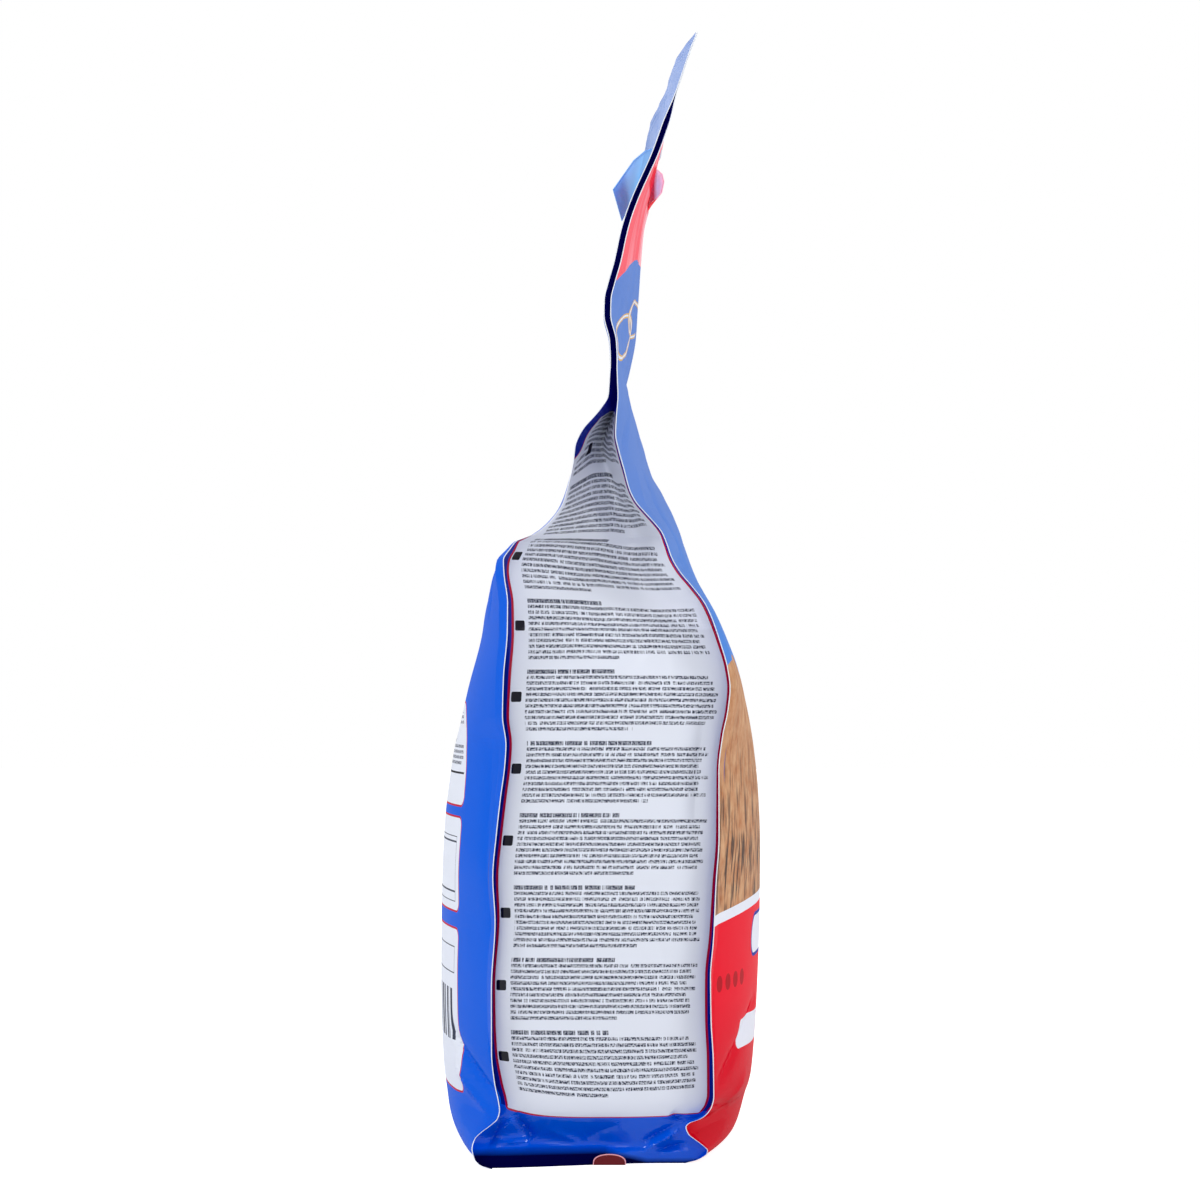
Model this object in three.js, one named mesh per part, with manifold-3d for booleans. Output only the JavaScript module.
// A filled and heat-sealed pet food bag, standing on its folded bottom.
// Front and back panels are welded to two side gussets along four corner fins.
// Over the contents the gussets fold inwards, the fins close up at the neck, and the flat top above
// it carries a hand slot whose two tongues of film are pushed out, one to each side.
// Millimetres, +Z up. The front panel faces -Y, the gussets face -X and +X.
// The origin is on the floor under the middle of the bag's depth and width.

import * as THREE from 'three';
import { mergeVertices } from 'three/addons/utils/BufferGeometryUtils.js';
import Module from 'manifold-3d';

const wasm = await Module();
wasm.setup();

// Heights above the floor
const bagHeight = 480; // top cut edge
const lipHeight = 4.5; // rolled lip under each gusset
const pinchHeight = 17; // the fins pinch in over the bottom fold
const cornerHeight = 27; // top of the bottom corners
const bodyHeight = 118; // fullest part of the body
const taperHeight = 206; // the front starts to lean in
const shoulderHeight = 252; // top of the contents
const collarHeight = 282; // foot of the narrow collar
const ridgeHeight = 302; // the collar's back fins stand out once more
const neckHeight = 326; // the front and back fins meet
const closeHeight = 340; // above this the panels lie on each other
const topSealHeight = 24; // welded band along the top edge

// Depths, front to back, between the outer faces of the fins
const footDepth = 98;
const pinchDepth = 83;
const gussetDepth = 93;
const taperDepth = 96;
const shoulderDepth = 74;
const collarDepth = 29;
const ridgeDepth = 18.5;

// How far the panels bulge past their fins
const frontBelly = 25.5;
const backBelly = 29;
const footBelly = 13;
const pinchFrontBelly = 30;
const pinchBackBelly = 24;
const cornerFrontBelly = 22;
const cornerBackBelly = 27;
const taperFrontBelly = 9.5;
const taperBackBelly = 19;
const shoulderFrontBelly = 11.5;
const shoulderBackBelly = 8.5;
const collarFrontBelly = 19;
const collarBackBelly = 5;
const ridgeFrontBelly = 15;
const ridgeBackBelly = 3;
const neckFrontBelly = 8.5;
const neckBackBelly = 1;

// Widths from fin edge to fin edge, and the film
const filledWidth = 244;
const flatWidth = 260;
const footWidth = 236;
const finWidth = 7; // welded strip along each corner
const filmStack = 0.9; // welded films, drawn thick
const slotGap = 1; // open fold between two fins above the neck
const sheetThickness = 1.8; // both panels pressed together
const gussetFilm = 94; // gusset from fin to fin, laid flat
const gussetBulge = 4; // the contents push the gusset out
const grooveDepth = 7; // fold over the lip

// Where the middle between the fins lies, towards +Y, up the side facing -X
const footLean = 4;
const pinchLean = 5.5;
const bodyLean = -2;
const taperLean = -7;
const shoulderLean = 3.5;
const collarLean = 0.5;
const ridgeLean = 1.5;
const neckLean = -5;
const waistLean = -2.6; // lowest bend of the flat top
const nearTopLean = -41;
const midTopLean = -31;
const farTopLean = -24;
const midTopBow = -17.5; // the flat top bows forwards at half its height
const farTopBow = -12;

// Hand slot and its tongues
const slotWidth = 86;
const slotHeight = 26;
const slotCorner = 9;
const slotBelowTop = 30;
const slotClearance = 1.5; // how far a tongue's root runs into the sheet
const backTongueReach = 20;
const backTongueDrop = 19;
const frontTongueReach = 8;
const frontTongueRise = 16;
const tongueWidth = 84;

// Folded end of the bottom seam, in the groove under each gusset
const seamWidth = 12.6;
const seamHeight = 5.4;
const seamOffset = -4.5;
const seamLength = 12;

// Fineness of the mesh
const panelSteps = 18;
const gussetSteps = 8;
const tongueSteps = 8;

const blue = 0x0b5fd8;

const clamp01 = (t) => Math.min(1, Math.max(0, t));
const smooth = (from, to, t) => {
  const s = clamp01((t - from) / (to - from));
  return s * s * (3 - 2 * s);
};

// A smooth line through [height, value] points, without overshoot between level neighbours
function lineThrough(points) {
  const rise = (a, b) => (b[1] - a[1]) / (b[0] - a[0]);
  const slopes = points.map((p, i) => {
    if (i === 0 || i === points.length - 1) return 0;
    const before = rise(points[i - 1], p);
    const after = rise(p, points[i + 1]);
    return before * after <= 0 ? 0 : (2 * before * after) / (before + after);
  });
  return (z) => {
    if (z <= points[0][0]) return points[0][1];
    const k = points.findIndex((p) => p[0] >= z);
    if (k < 0) return points[points.length - 1][1];
    const [z0, v0] = points[k - 1];
    const [z1, v1] = points[k];
    const span = z1 - z0;
    const t = (z - z0) / span;
    const a = v0 * (1 + 2 * t) * (1 - t) ** 2 + v1 * t * t * (3 - 2 * t);
    return a + span * t * (1 - t) * (slopes[k - 1] * (1 - t) - slopes[k] * t);
  };
}

const finGap = 2 * filmStack + slotGap; // fin to fin above the neck
const pressIn = (finGap - sheetThickness) / 2; // the sheet is thinner than its edges
const topMiddle = (neckHeight + bagHeight) / 2;
const waistHeight = neckHeight + (bagHeight - neckHeight) / 4;
const slotTop = bagHeight - slotBelowTop;
const slotBottom = slotTop - slotHeight;

const depthAt = lineThrough([
  [0, footDepth],
  [lipHeight, footDepth],
  [pinchHeight, pinchDepth],
  [cornerHeight, gussetDepth],
  [bodyHeight, gussetDepth],
  [taperHeight, taperDepth],
  [shoulderHeight, shoulderDepth],
  [collarHeight, collarDepth],
  [ridgeHeight, ridgeDepth],
  [neckHeight, finGap],
  [bagHeight, finGap],
]);

const frontBellyAt = lineThrough([
  [0, footBelly],
  [pinchHeight, pinchFrontBelly],
  [cornerHeight, cornerFrontBelly],
  [bodyHeight, frontBelly],
  [taperHeight, taperFrontBelly],
  [shoulderHeight, shoulderFrontBelly],
  [collarHeight, collarFrontBelly],
  [ridgeHeight, ridgeFrontBelly],
  [neckHeight, neckFrontBelly],
  [closeHeight, -pressIn],
  [bagHeight, -pressIn],
]);

const backBellyAt = lineThrough([
  [0, footBelly],
  [pinchHeight, pinchBackBelly],
  [cornerHeight, cornerBackBelly],
  [bodyHeight, backBelly],
  [taperHeight, taperBackBelly],
  [shoulderHeight, shoulderBackBelly],
  [collarHeight, collarBackBelly],
  [ridgeHeight, ridgeBackBelly],
  [neckHeight, neckBackBelly],
  [closeHeight, -pressIn],
  [bagHeight, -pressIn],
]);

const halfWidthAt = lineThrough([
  [0, footWidth / 2],
  [cornerHeight, filledWidth / 2],
  [shoulderHeight, filledWidth / 2],
  [neckHeight, flatWidth / 2],
  [bagHeight, flatWidth / 2],
]);

const bodyLine = [
  [0, footLean],
  [lipHeight, footLean],
  [pinchHeight, pinchLean],
  [cornerHeight, bodyLean],
  [bodyHeight, bodyLean],
  [taperHeight, taperLean],
  [shoulderHeight, shoulderLean],
  [collarHeight, collarLean],
  [ridgeHeight, ridgeLean],
  [neckHeight, neckLean],
];
const nearLean = lineThrough([...bodyLine, [waistHeight, waistLean], [bagHeight, nearTopLean]]);
const midLean = lineThrough([...bodyLine, [topMiddle, midTopBow], [bagHeight, midTopLean]]);
const farLean = lineThrough([...bodyLine, [topMiddle, farTopBow], [bagHeight, farTopLean]]);

// Middle of the bag's depth at one place across its width, u from -1 (near side) to 1
function leanAt(u, z) {
  const near = nearLean(z);
  const mid = midLean(z);
  const far = farLean(z);
  return mid + ((far - near) / 2) * u + ((far + near) / 2 - mid) * u * u;
}

// How far the gusset's centre line is drawn in from the fin roots
function foldAt(z) {
  const half = Math.min(depthAt(z), gussetFilm) / 2;
  const drawnIn = Math.sqrt((gussetFilm / 2) ** 2 - half ** 2);
  const body = -gussetBulge * smooth(lipHeight, cornerHeight, z);
  const groove = grooveDepth * smooth(0, lipHeight, z) * (1 - smooth(lipHeight, pinchHeight, z));
  const share = smooth(taperHeight, collarHeight, z);
  const open = 1 - smooth(bagHeight - topSealHeight, bagHeight - topSealHeight * 0.75, z);
  return (body * (1 - share) + drawnIn * share) * open + groove;
}

// Inner side of one end: fin tip, root, gusset, root and fin tip, from front to back
function endPoints(side, z) {
  const edge = halfWidthAt(z);
  const root = edge - finWidth;
  const inner = depthAt(z) / 2 - filmStack;
  const fold = foldAt(z);
  const point = (x, s) => [side * x, leanAt((side * x) / edge, z) + s * inner];
  const points = [point(edge, -1)];
  for (let i = 0; i <= gussetSteps; i++) {
    const s = (2 * i) / gussetSteps - 1;
    points.push(point(root - fold * (1 - Math.abs(s) ** 1.5), s));
  }
  points.push(point(edge, 1));
  return points;
}

// Outer face of a panel, from one fin edge to the other; out is -1 for the front and 1 for the back
function panelPoints(out, bellyAt, z) {
  const points = [];
  for (let i = 0; i <= panelSteps; i++) {
    const u = (2 * i) / panelSteps - 1;
    const y = leanAt(u, z) + out * (depthAt(z) / 2 + bellyAt(z) * (1 - u * u));
    points.push([u * halfWidthAt(z), y]);
  }
  return points;
}

// The bag's outline at one height, counter-clockwise from above
function outlineAt(z) {
  return [
    ...panelPoints(-1, frontBellyAt, z),
    ...endPoints(1, z),
    ...panelPoints(1, backBellyAt, z).reverse(),
    ...endPoints(-1, z).reverse(),
  ].map(([x, y]) => new THREE.Vector3(x, y, z));
}

// Closed skin over a row of rings with as many points each; flatten gives a ring's points in 2D
function skinOver(rings, flatten) {
  const count = rings[0].length;
  const index = [];
  for (let r = 0; r + 1 < rings.length; r++) {
    for (let i = 0; i < count; i++) {
      const a = r * count + i;
      const b = r * count + ((i + 1) % count);
      index.push(a, b, b + count, a, b + count, a + count);
    }
  }
  const last = (rings.length - 1) * count;
  for (const [a, b, c] of THREE.ShapeUtils.triangulateShape(rings[0].map(flatten), [])) {
    index.push(a, c, b);
  }
  for (const [a, b, c] of THREE.ShapeUtils.triangulateShape(rings.at(-1).map(flatten), [])) {
    index.push(last + a, last + b, last + c);
  }
  const geometry = new THREE.BufferGeometry().setFromPoints(rings.flat());
  geometry.setIndex(index);
  return geometry;
}

// Evenly spaced heights through each zone of the bag
function ringHeights() {
  const zones = [
    [0, 1],
    [lipHeight / 3, 2],
    [lipHeight, 3],
    [pinchHeight, 3],
    [cornerHeight, 4],
    [bodyHeight, 4],
    [taperHeight, 4],
    [shoulderHeight, 5],
    [collarHeight, 3],
    [ridgeHeight, 3],
    [neckHeight, 2],
    [closeHeight, 5],
    [bagHeight - topSealHeight, 2],
    [bagHeight - topSealHeight * 0.75, 2],
  ];
  return zones
    .flatMap(([from, steps], i) => {
      const to = i + 1 < zones.length ? zones[i + 1][0] : bagHeight;
      return Array.from({ length: steps }, (_, k) => from + ((to - from) * k) / steps);
    })
    .concat(bagHeight);
}

function filledBag() {
  return skinOver(ringHeights().map(outlineAt), (p) => new THREE.Vector2(p.x, p.y));
}

function handSlot() {
  const w = slotWidth / 2;
  const shape = new THREE.Shape();
  shape.moveTo(-w + slotCorner, slotBottom);
  shape.lineTo(w - slotCorner, slotBottom);
  shape.absarc(w - slotCorner, slotBottom + slotCorner, slotCorner, -Math.PI / 2, 0);
  shape.absarc(w - slotCorner, slotTop - slotCorner, slotCorner, 0, Math.PI / 2);
  shape.absarc(-w + slotCorner, slotTop - slotCorner, slotCorner, Math.PI / 2, Math.PI);
  shape.absarc(-w + slotCorner, slotBottom + slotCorner, slotCorner, Math.PI, 1.5 * Math.PI);
  const through = footDepth;
  const cutter = new THREE.ExtrudeGeometry(shape, {
    depth: through,
    bevelEnabled: false,
    curveSegments: 5,
  });
  // the outline is drawn in X and Z, and pushed along Y
  cutter.rotateX(Math.PI / 2);
  cutter.translate(0, through / 2, 0);
  return cutter;
}

// A tongue of film that bends out of the sheet from a hinge line at one height
function tongue(hinge, reach, rise) {
  const rings = [];
  const half = tongueWidth / 2;
  for (let i = 0; i <= tongueSteps; i++) {
    const x = half * (1 - (2 * i) / tongueSteps);
    const past = Math.max(0, Math.abs(x) - (half - slotCorner));
    const cut = slotCorner - Math.sqrt(Math.max(0, slotCorner ** 2 - past ** 2));
    const length = 1 - (0.9 * cut) / Math.hypot(reach, rise);
    const y = leanAt((2 * x) / flatWidth, hinge);
    const bend = (share) => [
      y + reach * share * length,
      hinge + rise * length * share ** 1.6,
    ];
    const thick = filmStack / 2;
    const line = [[y, hinge], bend(0.35), bend(0.7), bend(1)];
    const upper = line.map(([py, pz]) => new THREE.Vector3(x, py, pz + thick));
    const lower = line.map(([py, pz]) => new THREE.Vector3(x, py, pz - thick));
    rings.push([...lower, ...upper.reverse()]);
  }
  if (reach > 0) rings.reverse();
  return skinOver(rings, (p) => new THREE.Vector2(p.y * Math.sign(reach), p.z));
}

// The folded seam's end: a low arch that fills the groove over the lip
function seamEnd(side) {
  const arch = new THREE.Shape();
  arch.moveTo(-seamWidth / 2, 0);
  arch.lineTo(seamWidth / 2, 0);
  arch.lineTo(seamWidth / 2, seamHeight * 0.55);
  arch.quadraticCurveTo(seamWidth / 4, seamHeight, 0, seamHeight);
  arch.quadraticCurveTo(-seamWidth / 2, seamHeight, -seamWidth / 2, seamHeight * 0.55);
  const end = new THREE.ExtrudeGeometry(arch, {
    depth: seamLength,
    bevelEnabled: false,
    curveSegments: 4,
  });
  // the arch stands across Y, and runs in under the bag along X
  end.rotateX(Math.PI / 2);
  end.rotateZ(Math.PI / 2);
  const outside = footWidth / 2 - finWidth / 2;
  end.translate(side > 0 ? outside - seamLength : -outside, seamOffset, 0);
  return end;
}

function solid(geometry) {
  const bare = geometry.clone();
  bare.deleteAttribute('normal');
  bare.deleteAttribute('uv');
  const merged = mergeVertices(bare, 1e-4);
  return new wasm.Manifold(
    new wasm.Mesh({
      numProp: 3,
      vertProperties: new Float32Array(merged.attributes.position.array),
      triVerts: new Uint32Array(merged.index.array),
    }),
  );
}

function asGeometry(manifold) {
  const mesh = manifold.getMesh();
  const geometry = new THREE.BufferGeometry();
  geometry.setAttribute('position', new THREE.BufferAttribute(mesh.vertProperties, 3));
  geometry.setIndex(new THREE.BufferAttribute(mesh.triVerts, 1));
  geometry.computeVertexNormals();
  return geometry;
}

function bagSolid() {
  return solid(filledBag())
    .subtract(solid(handSlot()))
    .add(solid(tongue(slotTop + slotClearance, backTongueReach, -backTongueDrop)))
    .add(solid(tongue(slotBottom - slotClearance, -frontTongueReach, frontTongueRise)))
    .add(solid(seamEnd(-1)))
    .add(solid(seamEnd(1)));
}

const film = new THREE.MeshStandardMaterial({ color: blue, roughness: 0.3, metalness: 0 });
const bag = new THREE.Mesh(asGeometry(bagSolid()), film);
bag.name = 'bag';

const model = new THREE.Group();
model.add(bag);

export default model;
